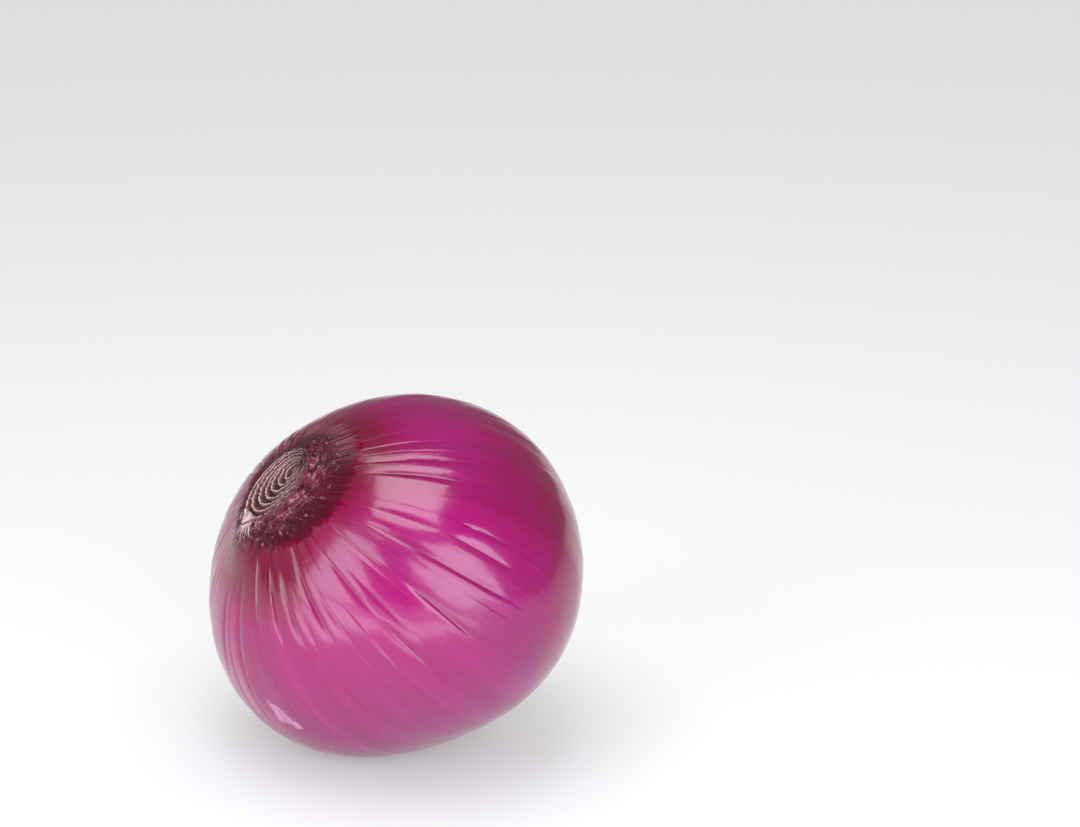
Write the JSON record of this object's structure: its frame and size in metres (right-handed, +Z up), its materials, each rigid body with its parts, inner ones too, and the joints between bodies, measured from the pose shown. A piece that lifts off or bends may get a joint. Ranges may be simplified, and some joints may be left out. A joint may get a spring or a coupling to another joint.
{
  "type": "onion",
  "caption": "Peeled red onion lying on its side, with a ribbed skin, a cut dry neck of nested leaf sheaths and a trimmed root plate.",
  "frame": {"origin": "middle of the small flat spot that the onion rests on", "axes": "+Z up; the onion's own axis lies in the XZ plane, with the neck leaning 46.7 degrees from upright towards -X and the root end low towards +X; +Y is across the onion"},
  "size_m": [0.0765, 0.0828, 0.076],
  "materials": {
    "skin": "glossy magenta outer scale",
    "dry_sheaths": "dry brown-purple sheaths with cream edges",
    "roots": "dry cream-brown root plate and cut roots"
  },
  "bodies": {
    "root": {"bulb": "skin", "neck": "dry_sheaths", "root_plate": "roots"}
  },
  "joints": []
}
